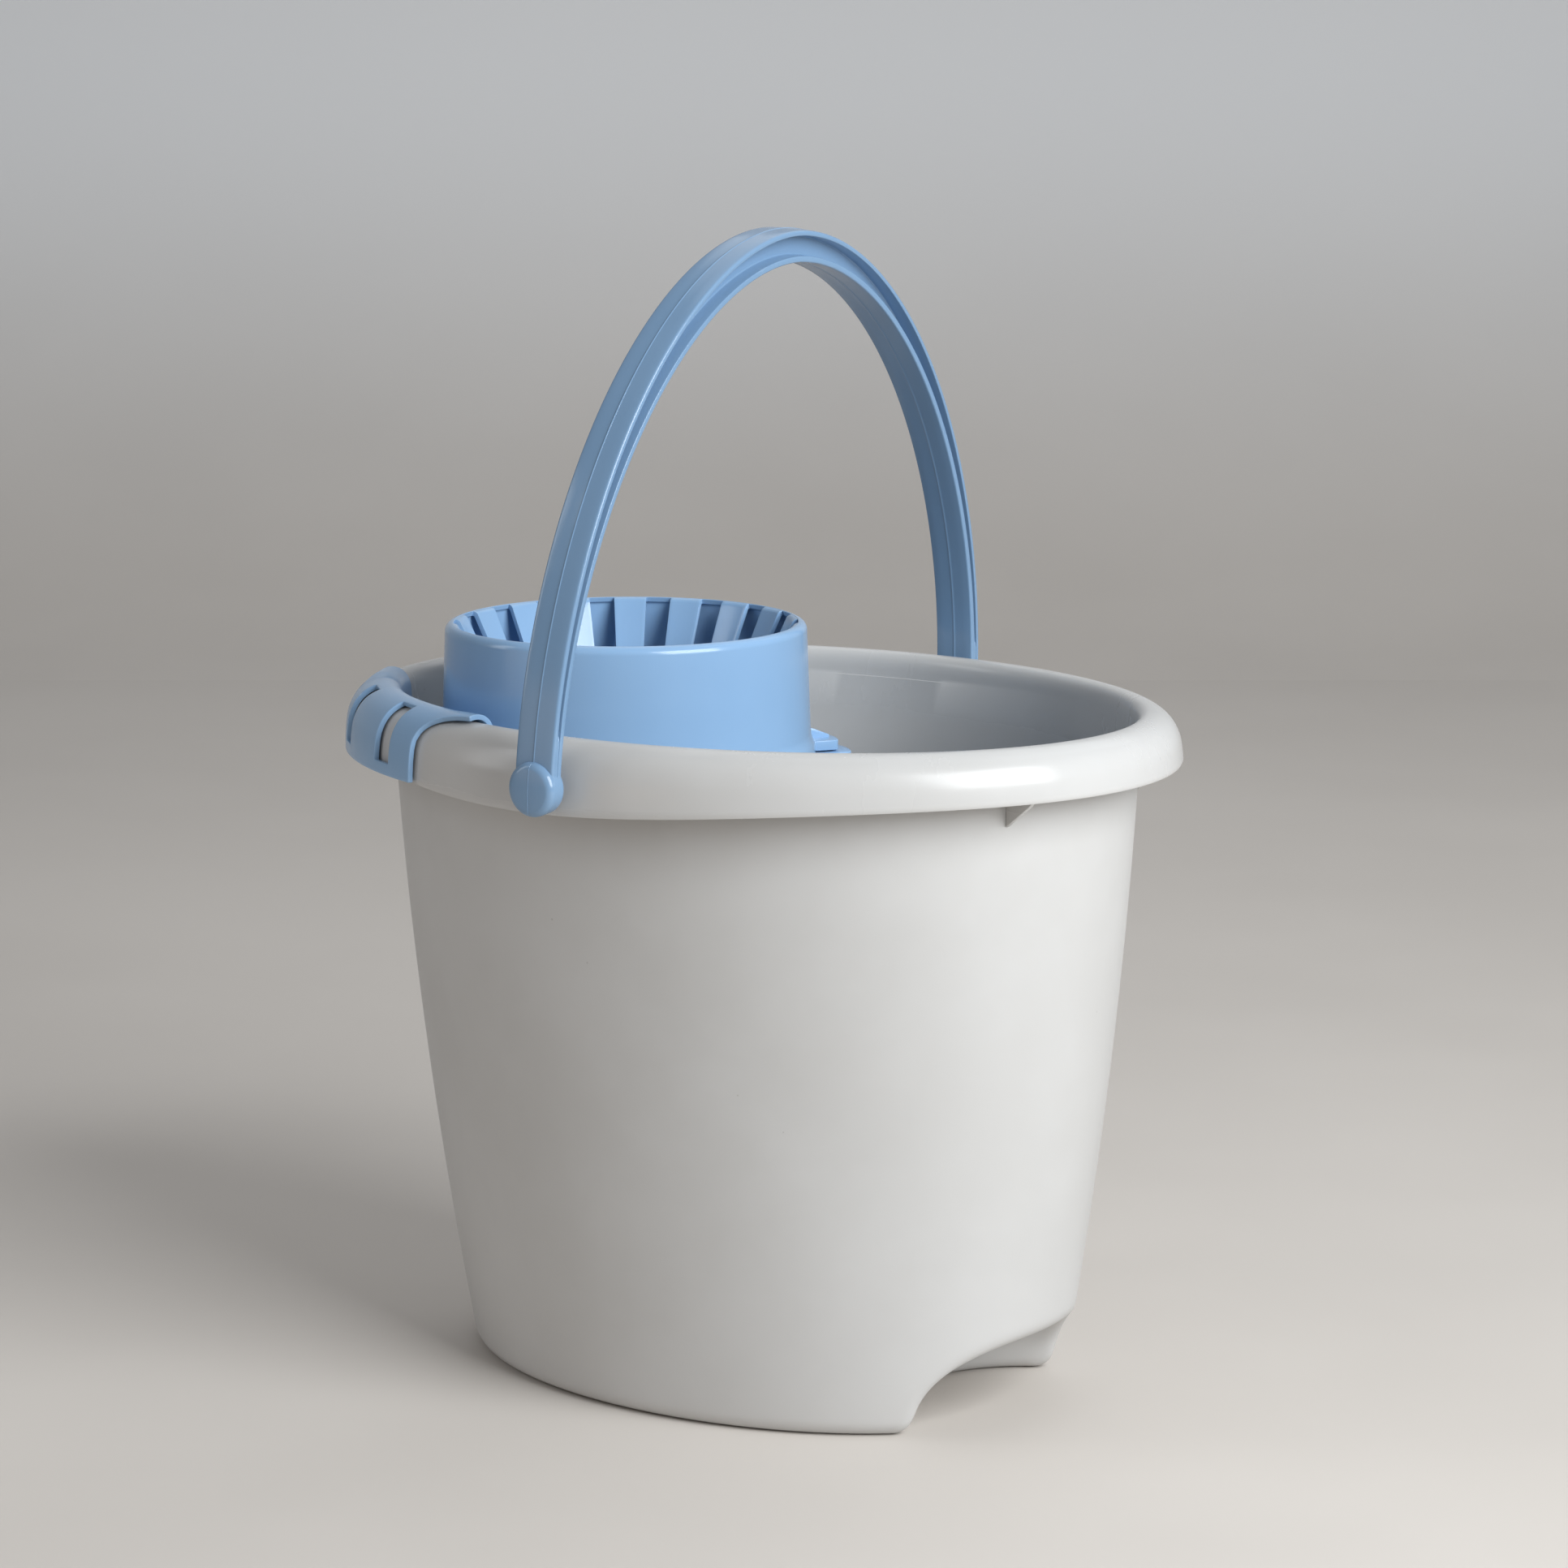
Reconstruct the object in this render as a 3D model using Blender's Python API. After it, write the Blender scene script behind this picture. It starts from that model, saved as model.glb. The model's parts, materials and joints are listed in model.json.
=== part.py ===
"""An oval mop bucket: a moulded tub, a bail handle, and a wringer that clips onto the rim.

Metres, +Z up. The origin is under the middle of the tub, on the surface that it stands on. +X runs
along the oval's long axis towards the finger notch. The bail turns about a line along Y, through
the two pivot holes in the rim's skirt. A place on the oval is given by its ellipse angle, and a
distance out from the rim's crest line by an offset added to both half axes.
"""

import math

import bmesh
import bpy
from mathutils import Vector

# Tub wall: an oval that widens, and bows outwards a little, from its floor up to its rim
BASE_A, BASE_B = 0.1382, 0.0943
CREST_A, CREST_B, CREST_Z = 0.1707, 0.1313, 0.2875
WALL_TOP_INSET = 0.0027
WALL_BOW = 0.0047
BACK_TAPER, BACK_TAPER_END = 0.0038, 0.87
WALL = 0.0024
FLOOR_TOP = 0.0045
CORNER_OUT, CORNER_UP = 0.0030, 0.0060
FOOT_RING = 0.0180
RECESS = 0.0015
TUB_SIDES = 54

# Rim: (offset out from the crest, drop below it) of the top face, from the inner wall to the skirt
RIM_FACE = (
    (-0.0051, 0.0090), (-0.0049, 0.0050), (-0.0040, 0.0022), (-0.0024, 0.0006), (0.0, 0.0),
    (0.0040, 0.0007), (0.0080, 0.0029), (0.0110, 0.0062), (0.0130, 0.0105), (0.0139, 0.0150),
    (0.0143, 0.0196),
)
RIM_UNDERSIDE = (
    (0.0122, 0.0196), (0.0117, 0.0150), (0.0109, 0.0118), (0.0090, 0.0083), (0.0064, 0.0054),
    (0.0032, 0.0034), (0.0000, 0.0032), (-0.0020, 0.0040),
)
SKIRT_DROP = 0.0196
DIP, DIP_ANGLE, DIP_SPREAD = 0.0088, 96.0, 25.0
GUSSET_ANGLES = (23.5, 156.5, -156.5, -23.5)
GUSSET = 0.0018

# Finger notch in the +X end of the base: a dome whose height follows a superellipse
NOTCH_X, NOTCH_RADIUS, NOTCH_HEIGHT, NOTCH_POWER = 0.136, 0.0575, 0.0358, 2.5

# Bail: a superelliptic arch, two equal flanges joined by a web, with a round boss and a pin at
# each foot
PIVOT_Z = 0.2703
BAIL_HALF_SPAN, BAIL_RISE, BAIL_POWER = 0.1563, 0.2110, 1.885
BAIL_WIDTH, BAIL_WEB = 0.0184, 0.0056
BAIL_DEPTH_FOOT, BAIL_DEPTH_TOP = 0.0064, 0.0133
BAIL_LEAN = math.radians(2.9)
OUTER_FLANGE, INNER_FLANGE = 0.0024, 0.0026
FOOT_LENGTH, CHANNEL_START = 0.020, 0.030
BAIL_STEPS = 40
BOSS_RADIUS, BOSS_BACK, BOSS_FRONT, BOSS_ROUNDING = 0.0110, 0.1481, 0.1590, 0.0032
PIN_RADIUS, PIN_HEAD_RADIUS, PIN_END = 0.0045, 0.0056, 0.1372
FOOT_OVERRUN = 0.0011
SKIRT_INSIDE_Y = 0.1408
HOLE_RADIUS = 0.0049

# Wringer: it hooks over the rim at this ellipse angle, square to the rim there
CLIP_ANGLE = -131.7
CLIP_HALF_ANGLE, FLAP_HALF_ANGLE = 27.4, 16.4
CLIP_GAP, CLIP_SHEET = 0.0007, 0.0020
CLIP_STEPS, CLIP_STATIONS = 16, 20
FLAP_DROP = 0.0262
FLANGE_BOTTOM = 0.2512
WINDOW_ANGLES = (-8.45, 8.45)
WINDOW_WIDTH, WINDOW_BOTTOM, WINDOW_TOP = 0.0125, 0.2662, 0.2872
CUP_FROM_CREST = 0.0991
CUP_RADIUS, CUP_TOP, CUP_BOTTOM = 0.0761, 0.3157, 0.2559
CUP_SIDES = 54
FINGERS, SLOT_ANGLE, FIRST_SLOT = 18, 8.8, 15.0
CONE_SLOPE, CONE_FOOT_Z = 0.47, 0.2180
PLATE_BOTTOM, PLATE_TOP, PLATE_RADIUS, PLATE_HOLE = 0.2512, 0.2555, 0.0832, 0.0640
TONGUE_HALF_ANGLE, TONGUE_HALF_WIDTH = 15.0, 0.050
LUG_WIDTH, LUG_REACH, LUG_TOP = 0.018, 0.0184, 0.2603
SLAB_WIDTH, SLAB_REACH = 0.0223, 0.0240
END_ROUNDING = 0.35
WEB_THICKNESS = 0.0022
JOIN_INSET = 0.0002

BUCKET_GREY = (0.62, 0.62, 0.61)
PALE_BLUE = (0.19, 0.36, 0.60)


def material(name, colour, roughness):
    made = bpy.data.materials.new(name)
    made.use_nodes = True
    shader = made.node_tree.nodes["Principled BSDF"]
    shader.inputs["Base Color"].default_value = (*colour, 1.0)
    shader.inputs["Roughness"].default_value = roughness
    shader.inputs["Metallic"].default_value = 0.0
    return made


def finished(bm, name, finish=None):
    """An object of this bmesh: with a material it is a part, and without one it is a cutter."""
    bmesh.ops.recalc_face_normals(bm, faces=bm.faces)
    mesh = bpy.data.meshes.new(name)
    bm.to_mesh(mesh)
    bm.free()
    obj = bpy.data.objects.new(name, mesh)
    bpy.context.scene.collection.objects.link(obj)
    if finish:
        mesh.materials.append(finish)
        mesh.shade_smooth()
        mesh.set_sharp_from_angle(angle=math.radians(35))
    else:
        obj.hide_render = True
        obj.display_type = "WIRE"
    return obj


def skin(bm, rings, round_trip=False):
    """Quads between rings of points. A round trip joins last to first, and other stacks get caps."""
    rows = [[bm.verts.new(point) for point in ring] for ring in rings]
    pairs = list(zip(rows, rows[1:]))
    if round_trip:
        pairs.append((rows[-1], rows[0]))
    else:
        bm.faces.new(rows[0])
        bm.faces.new(rows[-1])
    for low, high in pairs:
        for i in range(len(low)):
            j = (i + 1) % len(low)
            bm.faces.new((low[i], low[j], high[j], high[i]))


def lofted(name, rings, finish=None, round_trip=False):
    bm = bmesh.new()
    skin(bm, rings, round_trip)
    return finished(bm, name, finish)


def prism(name, outline, sweep):
    """A solid cutter: the outline's points, moved by the sweep vector."""
    shifted = [Vector(point) + Vector(sweep) for point in outline]
    return lofted(name, [outline, shifted])


def boolean(obj, operation, other):
    step = obj.modifiers.new(other.name, "BOOLEAN")
    step.operation = operation
    step.object = other
    step.solver = "EXACT"


def circle(radius, z, centre=(0.0, 0.0), sides=40):
    turns = [2 * math.pi * i / sides for i in range(sides)]
    return [(centre[0] + radius * math.cos(t), centre[1] + radius * math.sin(t), z) for t in turns]


# Places on the oval


def wall_half_axes(z):
    """Outer half axes of the tub's wall at height z."""
    t = z / CREST_Z
    bow = WALL_BOW * 4 * t * (1 - t)
    top_a, top_b = CREST_A - WALL_TOP_INSET, CREST_B - WALL_TOP_INSET
    return BASE_A + (top_a - BASE_A) * t + bow, BASE_B + (top_b - BASE_B) * t + bow


def back_taper(z):
    """How much shorter the oval is on its -X side at height z: it draws in towards the base."""
    return BACK_TAPER * max(1 - z / CREST_Z / BACK_TAPER_END, 0.0) ** 1.3


def wall_inside(z):
    """Offset from the crest line that lies against the wall's inner face at height z."""
    half_a, half_b = wall_half_axes(z)
    return min(half_a - CREST_A, half_b - CREST_B) - WALL


def on_oval(degrees, offset, z):
    """The point at an ellipse angle, offset out from the rim's crest line."""
    angle = math.radians(degrees)
    return Vector(((CREST_A + offset) * math.cos(angle), (CREST_B + offset) * math.sin(angle), z))


def wall_ring(z, inset=0.0, at_height=None):
    shape_z = z if at_height is None else at_height
    half_a, half_b = wall_half_axes(shape_z)
    ring = []
    for i in range(TUB_SIDES):
        turn = 2 * math.pi * i / TUB_SIDES
        reach = half_a - inset - (back_taper(shape_z) if math.cos(turn) < 0 else 0.0)
        ring.append((reach * math.cos(turn), (half_b - inset) * math.sin(turn), z))
    return ring


def skirt_dip(degrees):
    """How much lower the skirt hangs here: it is deepest beside the pivots, on both long sides."""
    from_deepest = abs(abs(degrees) - DIP_ANGLE)
    return DIP * math.exp(-((from_deepest / DIP_SPREAD) ** 2) / 2)


def rim_ring(offset, drop):
    ring = []
    for i in range(TUB_SIDES):
        degrees = (360 * i / TUB_SIDES + 180) % 360 - 180
        lower = skirt_dip(degrees) * (drop / SKIRT_DROP) ** 2
        ring.append(on_oval(degrees, offset, CREST_Z - drop - lower))
    return ring


# Tub


def corner_rings(steps=3):
    """The rounded outer bottom edge, from the floor up."""
    rings = []
    for i in range(steps + 1):
        turn = math.pi / 2 * (1 - i / steps)
        inset = CORNER_OUT * (1 - math.cos(turn))
        rings.append(wall_ring(CORNER_UP * (1 - math.sin(turn)), inset, CORNER_UP))
    return rings


def notch_dome(name, extra):
    """The finger notch's dome, or with extra thickness the skin round it."""
    radius, height = NOTCH_RADIUS + extra, NOTCH_HEIGHT + extra
    rings = [circle(radius, -0.005, (NOTCH_X, 0.0))]
    for share in (1.0, 0.97, 0.91, 0.81, 0.65, 0.42, 0.15):
        z = height * (1 - share**NOTCH_POWER) ** (1 / NOTCH_POWER)
        rings.append(circle(radius * share, z, (NOTCH_X, 0.0)))
    return lofted(name, rings)


def gusset(degrees):
    """A thin triangular web between the wall and the skirt, under the rim."""
    profile = (
        (-0.0050, 0.2550), (-0.0050, 0.2810), (0.0090, 0.2810), (0.0130, 0.2745), (0.0130, 0.2690),
    )
    angle = math.radians(degrees)
    across = Vector((-math.sin(angle), math.cos(angle), 0.0)) * GUSSET
    outline = [on_oval(degrees, offset, z) - across / 2 for offset, z in profile]
    return prism(f"gusset_{degrees:+.0f}", outline, across)


def pivot_hole(side):
    rings = []
    for y in (0.136, 0.152):
        rings.append(
            [(x, side * y, PIVOT_Z + z) for x, z, _ in circle(HOLE_RADIUS, 0.0, sides=20)]
        )
    return lofted(f"pivot_hole_{side:+d}", rings)


def make_tub(finish):
    heights = [0.020, 0.050, 0.095, 0.150, 0.205, 0.250, 0.270]
    rings = [wall_ring(RECESS, FOOT_RING + 0.001), wall_ring(0.0, FOOT_RING)]
    rings += corner_rings()
    rings += [wall_ring(z) for z in heights]
    rings.append(wall_ring(0.2810))
    rings += [rim_ring(*place) for place in reversed(RIM_UNDERSIDE)]
    rings += [rim_ring(*place) for place in reversed(RIM_FACE)]
    rings += [wall_ring(z, WALL) for z in reversed(heights)]
    rings += [
        wall_ring(FLOOR_TOP + 0.004, WALL, 0.010),
        wall_ring(FLOOR_TOP + 0.001, WALL + 0.0015, 0.010),
        wall_ring(FLOOR_TOP, WALL + 0.005, 0.010),
    ]
    tub = lofted("bucket_tub", rings, finish)

    within_wall = [wall_ring(z, WALL / 2) for z in (0.0028, 0.020, 0.042, 0.060)]
    dome_skin = notch_dome("notch_skin", WALL)
    boolean(dome_skin, "INTERSECT", lofted("inside_of_wall", within_wall))
    boolean(tub, "UNION", dome_skin)
    boolean(tub, "DIFFERENCE", notch_dome("notch_space", 0.0))
    for degrees in GUSSET_ANGLES:
        boolean(tub, "UNION", gusset(degrees))
    for side in (-1, 1):
        boolean(tub, "DIFFERENCE", pivot_hole(side))
    return tub


# Bail handle


def eased(value, low, high):
    """0 below low, 1 above high, and a smooth climb between them."""
    t = min(max((value - low) / (high - low), 0.0), 1.0)
    return t * t * (3 - 2 * t)


def bail_section(depth, share):
    """(x, depth in from the outer face) round the section: two equal flanges and a web between them.

    The share goes from 0 at the solid foot to 1 where the channels beside the web are at their full
    depth.
    """
    half = BAIL_WIDTH / 2
    foot_web = half - 0.0004
    web = foot_web - (foot_web - BAIL_WEB / 2) * share
    low, high = OUTER_FLANGE, depth - INNER_FLANGE
    side = (
        (half * 0.45, -0.0004), (half - 0.0014, 0.0), (half, 0.0010),
        (half, low - 0.0002), (web, low + 0.0002), (web, high - 0.0002), (half, high + 0.0002),
        (half, depth - 0.0008), (half - 0.0008, depth),
    )
    return side + tuple((-x, d) for x, d in reversed(side))


def bail_ring(turn):
    """The section at this turn of the arch about the pivot line. Its feet end inside the bosses."""
    c, s = math.cos(turn), abs(math.sin(turn))
    climb = s ** (2 / BAIL_POWER)
    up = BAIL_RISE * climb
    share = eased(up, FOOT_LENGTH, CHANNEL_START)
    depth = BAIL_DEPTH_FOOT + (BAIL_DEPTH_TOP - BAIL_DEPTH_FOOT) * climb**2
    overrun = FOOT_OVERRUN if up < FOOT_OVERRUN else 0.0
    ring = []
    for x, d in bail_section(depth, share):
        y = (BAIL_HALF_SPAN - d) * math.copysign(abs(c) ** (2 / BAIL_POWER), c)
        ring.append((x, y, (BAIL_RISE - d) * climb - overrun))
    return ring


def bail_boss(side):
    """A round button with the pin on its back, turned about the pivot line."""
    profile = [(0.0002, PIN_END), (PIN_RADIUS, PIN_END)]
    profile += [(PIN_HEAD_RADIUS, PIN_END + 0.0015), (PIN_HEAD_RADIUS, SKIRT_INSIDE_Y - 0.0010)]
    profile += [(PIN_RADIUS, SKIRT_INSIDE_Y - 0.0004), (PIN_RADIUS, BOSS_BACK)]
    for i in range(4):
        turn = math.pi / 2 * i / 3
        inner = BOSS_RADIUS - BOSS_ROUNDING
        profile.append(
            (
                inner + BOSS_ROUNDING * math.sin(turn),
                BOSS_BACK + BOSS_ROUNDING * (1 - math.cos(turn)),
            )
        )
    for i in range(4):
        turn = math.pi / 2 * i / 3
        inner = BOSS_RADIUS - BOSS_ROUNDING
        profile.append(
            (
                inner + BOSS_ROUNDING * math.cos(turn),
                BOSS_FRONT - BOSS_ROUNDING * (1 - math.sin(turn)),
            )
        )
    profile.append((0.0002, BOSS_FRONT + 0.0006))
    rings = [
        [(x, side * y, z) for x, z, _ in circle(radius, 0.0, sides=20)] for radius, y in profile
    ]
    return lofted(f"bail_boss_{side:+d}", rings)


def make_bail(finish):
    turns = [math.pi * (i / BAIL_STEPS) for i in range(BAIL_STEPS + 1)]
    bail = lofted("bail_handle", [bail_ring(turn) for turn in turns], finish)
    pivot = bpy.data.objects.new("bail_pivot", None)
    bpy.context.scene.collection.objects.link(pivot)
    pivot.location = (0.0, 0.0, PIVOT_Z)
    pivot.rotation_euler = (0.0, BAIL_LEAN, 0.0)
    bail.parent = pivot
    for side in (-1, 1):
        boss = bail_boss(side)
        boss.parent = pivot
        boolean(bail, "UNION", boss)
    return bail


# Wringer


def clip_out():
    """The unit vector square to the rim at the clip, outwards, and the cup's centre in plan."""
    angle = math.radians(CLIP_ANGLE)
    out = Vector((math.cos(angle) / CREST_A, math.sin(angle) / CREST_B, 0.0)).normalized()
    return out, on_oval(CLIP_ANGLE, 0.0, 0.0) - out * CUP_FROM_CREST


def rim_path():
    """(offset, z) along the clip: up the inside of the wall, over the rim and down the skirt."""
    path = [(wall_inside(FLANGE_BOTTOM) - CLIP_GAP, FLANGE_BOTTOM)]
    path += [(offset, CREST_Z - drop) for offset, drop in RIM_FACE]
    path.append((RIM_FACE[-1][0] + 0.0002, CREST_Z - FLAP_DROP))
    return [Vector(place) for place in path]


def along(path, distance):
    """The point and the outward normal at a distance along a path of 2-D points."""
    tangents = [(b - a).normalized() for a, b in zip(path, path[1:])]
    corners = [(a + b).normalized() for a, b in zip(tangents, tangents[1:])]
    corners = [tangents[0], *corners, tangents[-1]]
    for i, (a, b) in enumerate(zip(path, path[1:])):
        step = (b - a).length
        if distance <= step or b is path[-1]:
            share = min(distance / step, 1.0)
            tangent = corners[i].lerp(corners[i + 1], share).normalized()
            return a.lerp(b, share), Vector((-tangent.y, tangent.x))
        distance -= step


def make_clip(finish):
    """The hooked sheet that saddles the rim, with its flange down the inside of the wall."""
    path = rim_path()
    length = sum((b - a).length for a, b in zip(path, path[1:]))
    flange = (path[1] - path[0]).length
    distances = [flange * i / 3 for i in range(4)]
    distances += [flange + (length - flange) * (i + 1) / CLIP_STEPS for i in range(CLIP_STEPS)]
    rings = []
    for i in range(CLIP_STATIONS + 1):
        degrees = CLIP_ANGLE + CLIP_HALF_ANGLE * (2 * i / CLIP_STATIONS - 1)
        near, far = [], []
        for distance in distances:
            place, normal = along(path, distance)
            inner = place + normal * CLIP_GAP
            outer = place + normal * (CLIP_GAP + CLIP_SHEET)
            near.append(on_oval(degrees, inner.x, inner.y))
            far.append(on_oval(degrees, outer.x, outer.y))
        rings.append(near + far[::-1])
    return lofted("wringer_carrier", rings, finish)


def beside_flap(side):
    """The space beside the flap, outside the arm that tapers along the top of the rim."""
    arm_edge = (
        (FLAP_HALF_ANGLE, 0.0125), (17.1, 0.0102), (18.2, 0.0080), (19.6, 0.0060), (21.5, 0.0044),
        (24.0, 0.0032), (CLIP_HALF_ANGLE + 1.0, 0.0018),
    )
    outside, low, high = 0.0300, 0.2450, 0.3000
    rings = []
    for station, offset in arm_edge:
        corners = ((offset, low), (offset, high), (outside, high), (outside, low))
        rings.append([on_oval(CLIP_ANGLE + side * station, n, z) for n, z in corners])
    return lofted(f"beside_flap_{side:+d}", rings)


def window(station):
    """A slot through the flap, open from near its lower edge to the shoulder of the rim."""
    angle = math.radians(CLIP_ANGLE + station)
    across = Vector((-math.sin(angle), math.cos(angle), 0.0)) * WINDOW_WIDTH
    profile = (
        (0.0060, WINDOW_TOP), (0.0060, 0.2800), (0.0120, WINDOW_BOTTOM), (0.0220, WINDOW_BOTTOM),
        (0.0220, WINDOW_TOP),
    )
    outline = [
        on_oval(CLIP_ANGLE + station, offset, z) - across / 2 for offset, z in profile
    ]
    return prism(f"window_{station:+.0f}", outline, across)


def plate_slab(name, start, end, half_width, bottom, top):
    """A bar away from the clip, between two distances from the cup's centre, with a rounded end."""
    out, centre = clip_out()
    away = -out
    across = Vector((-away.y, away.x, 0.0))
    rounding = half_width * END_ROUNDING
    outline = [centre + away * start - across * half_width]
    for i in range(9):
        turn = math.pi * (i / 8 - 0.5)
        tip = away * (rounding * math.cos(turn)) + across * half_width * math.sin(turn)
        outline.append(centre + away * (end - rounding) + tip)
    outline.append(centre + away * start + across * half_width)
    outline = [Vector((point.x, point.y, bottom)) for point in outline]
    return prism(name, outline, (0.0, 0.0, top - bottom))


def make_carrier(finish):
    carrier = make_clip(finish)
    out, centre = clip_out()
    across = Vector((-out.y, out.x, 0.0))
    disc = [circle(PLATE_RADIUS, z, centre, CUP_SIDES) for z in (PLATE_BOTTOM, PLATE_TOP)]
    boolean(carrier, "UNION", lofted("carrier_disc", disc))

    offset = wall_inside(FLANGE_BOTTOM) - CLIP_GAP * 2 - CLIP_SHEET / 2
    steps = [TONGUE_HALF_ANGLE * (i / 3 - 1) for i in range(7)]
    low, high = PLATE_BOTTOM + JOIN_INSET, PLATE_TOP - JOIN_INSET
    outline = [on_oval(CLIP_ANGLE + step, offset, low) for step in steps]
    for side in (1, -1):
        corner = centre + across * (side * TONGUE_HALF_WIDTH)
        outline.append(Vector((corner.x, corner.y, low)))
    boolean(carrier, "UNION", prism("carrier_tongue", outline, (0.0, 0.0, high - low)))

    slab = plate_slab(
        "carrier_slab", PLATE_HOLE, CUP_RADIUS + SLAB_REACH, SLAB_WIDTH / 2, low, high,
    )
    boolean(carrier, "UNION", slab)
    past_plate = (PLATE_BOTTOM - 0.010, PLATE_TOP + 0.006)
    hole = [circle(PLATE_HOLE, z, centre, CUP_SIDES) for z in past_plate]
    boolean(carrier, "DIFFERENCE", lofted("carrier_hole", hole))
    for side in (-1, 1):
        boolean(carrier, "DIFFERENCE", beside_flap(side))
    for station in WINDOW_ANGLES:
        boolean(carrier, "DIFFERENCE", window(station))
    return carrier


def cup_profile():
    """(radius, z) round the cup's wall: up the casing, over its lip, down and back up the cone."""
    lip = CUP_TOP
    cone_top, cone_start = 0.0685, lip - 0.0085
    foot = cone_top - CONE_SLOPE * (cone_start - CONE_FOOT_Z)
    return (
        (0.0797, CUP_BOTTOM), (0.0797, 0.2628), (0.0778, 0.2672), (0.0764, 0.3000),
        (CUP_RADIUS, lip - 0.0046), (0.0755, lip - 0.0018), (0.0738, lip - 0.0003),
        (0.0724, lip - 0.0004), (0.0708, lip - 0.0026), (cone_top, cone_start),
        (foot, CONE_FOOT_Z), (0.0120, CONE_FOOT_Z - 0.0010),
        (0.0120, CONE_FOOT_Z - 0.0034), (foot + 0.0010, CONE_FOOT_Z - 0.0026),
        (cone_top + 0.0024, cone_start), (0.0726, lip - 0.0042), (0.0732, lip - 0.0034),
        (0.0739, lip - 0.0046), (0.0742, 0.3000), (0.0756, 0.2672), (0.0770, 0.2628),
        (0.0770, CUP_BOTTOM),
    )


def slot(index, centre):
    """One gap between two fingers: a wedge through the cone's wall, clear of the casing."""
    profile = (
        (0.0620, CUP_TOP - 0.0026), (0.0731, CUP_TOP - 0.0026), (0.0731, CUP_TOP - 0.0080),
        (0.0380, 0.2270), (0.0240, 0.2270),
    )
    rings = []
    for edge in (-0.5, 0.5):
        turn = math.radians(FIRST_SLOT + 360 * index / FINGERS + SLOT_ANGLE * edge)
        rings.append(
            [
                (centre.x + r * math.cos(turn), centre.y + r * math.sin(turn), z)
                for r, z in profile
            ]
        )
    return rings


def make_cup(finish):
    _, centre = clip_out()
    rings = []
    for i in range(CUP_SIDES):
        turn = 2 * math.pi * i / CUP_SIDES
        c, s = math.cos(turn), math.sin(turn)
        rings.append([(centre.x + r * c, centre.y + r * s, z) for r, z in cup_profile()])
    cup = lofted("wringer_cup", rings, finish, round_trip=True)

    slots = bmesh.new()
    for index in range(FINGERS):
        skin(slots, slot(index, centre))
    boolean(cup, "DIFFERENCE", finished(slots, "finger_slots"))

    lug = plate_slab(
        "cup_lug", CUP_RADIUS - JOIN_INSET, CUP_RADIUS + LUG_REACH, LUG_WIDTH / 2,
        CUP_BOTTOM + JOIN_INSET, LUG_TOP,
    )
    boolean(cup, "UNION", lug)
    away = -clip_out()[0]
    across = Vector((-away.y, away.x, 0.0)) * WEB_THICKNESS
    web = ((0.0765, 0.2590), (0.0765, 0.2700), (0.0835, 0.2657), (0.0919, 0.2613), (0.0919, 0.2590))
    outline = [centre + away * r + Vector((0.0, 0.0, z)) - across / 2 for r, z in web]
    boolean(cup, "UNION", prism("cup_web", outline, across))
    return cup


def main():
    for obj in list(bpy.data.objects):
        bpy.data.objects.remove(obj)
    grey = material("bucket_grey", BUCKET_GREY, 0.45)
    blue = material("pale_blue", PALE_BLUE, 0.35)
    make_tub(grey)
    make_bail(blue)
    make_carrier(blue)
    make_cup(blue)


main()
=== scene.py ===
import json
import math

import bmesh
import bpy
import numpy as np
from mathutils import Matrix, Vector


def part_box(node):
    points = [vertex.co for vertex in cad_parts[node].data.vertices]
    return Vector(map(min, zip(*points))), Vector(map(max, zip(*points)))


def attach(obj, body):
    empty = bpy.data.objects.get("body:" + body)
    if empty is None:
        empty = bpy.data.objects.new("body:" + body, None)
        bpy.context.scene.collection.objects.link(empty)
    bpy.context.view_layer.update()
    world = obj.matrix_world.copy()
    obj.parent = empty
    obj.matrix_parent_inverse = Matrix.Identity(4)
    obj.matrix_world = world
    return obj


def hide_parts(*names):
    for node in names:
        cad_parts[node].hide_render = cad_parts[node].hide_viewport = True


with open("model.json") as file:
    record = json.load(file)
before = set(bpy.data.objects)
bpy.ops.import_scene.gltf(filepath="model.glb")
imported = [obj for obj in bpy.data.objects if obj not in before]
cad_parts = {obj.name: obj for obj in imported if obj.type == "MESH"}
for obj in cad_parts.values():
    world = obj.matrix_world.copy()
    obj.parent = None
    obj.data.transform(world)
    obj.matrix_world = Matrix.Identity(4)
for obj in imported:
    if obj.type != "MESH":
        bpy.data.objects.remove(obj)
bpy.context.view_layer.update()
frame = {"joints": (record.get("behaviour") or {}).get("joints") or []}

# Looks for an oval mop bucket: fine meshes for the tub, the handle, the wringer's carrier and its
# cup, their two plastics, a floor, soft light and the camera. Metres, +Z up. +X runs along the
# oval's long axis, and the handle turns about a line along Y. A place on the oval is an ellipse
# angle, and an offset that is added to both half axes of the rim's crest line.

tub_low, tub_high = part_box("bucket_tub")
cup_low, cup_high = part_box("wringer_cup")
carrier_low, carrier_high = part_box("wringer_carrier")
PIVOT_Z = next(joint["pos_m"][2] for joint in frame["joints"] if joint["name"] == "handle_swing")

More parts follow.
